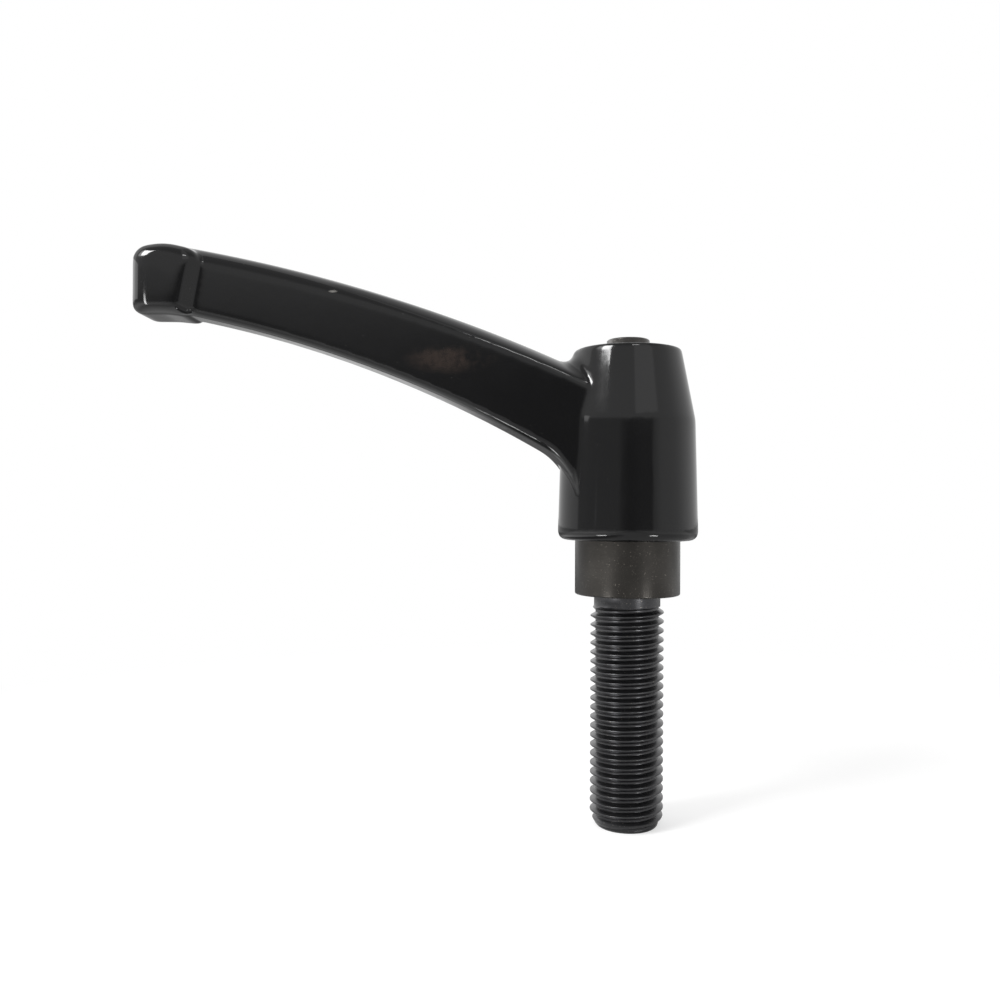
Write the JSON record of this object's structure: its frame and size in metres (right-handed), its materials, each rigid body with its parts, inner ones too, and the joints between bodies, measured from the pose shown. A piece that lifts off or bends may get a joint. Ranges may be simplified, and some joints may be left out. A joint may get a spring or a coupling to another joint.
{
  "type": "adjustable clamping lever",
  "caption": "Clamping lever with a die-cast knobbed handle whose hub lifts against a return spring off a toothed steel stud, turns to a new position and drops back into mesh.",
  "frame": {"origin": "centre of the collar's clamping face, where the stud leaves it", "axes": "+Z along the stud's axis, from the stud's tip towards the hub; the handle reaches out along -X; +Y is across the handle"},
  "size_m": [0.1212, 0.0302, 0.1251],
  "materials": {
    "black_enamel": "gloss black enamel on a zinc die-casting",
    "blackened_steel": "turned steel, blackened, satin",
    "screw_steel": "black oxide on steel, satin",
    "spring_steel": "drawn spring wire, bright"
  },
  "bodies": {
    "stud": {"threaded_stud": "blackened_steel", "retaining_screw": "screw_steel"},
    "spring": {"return_spring": "spring_steel"},
    "lever": {"lever": "black_enamel"}
  },
  "joints": [
    {"name": "lever_lift", "type": "slide", "parent": "stud", "child": "spring", "axis": [0, 0, 1], "range_m": [0, 0.0055], "stiffness_N_per_m": 1500, "springref_m": -0.008, "deforming": ["return_spring"]},
    {"name": "lever_turn", "type": "hinge", "parent": "spring", "child": "lever", "pos_m": [0, 0, 0], "axis": [0, 0, 1], "continuous": true}
  ]
}
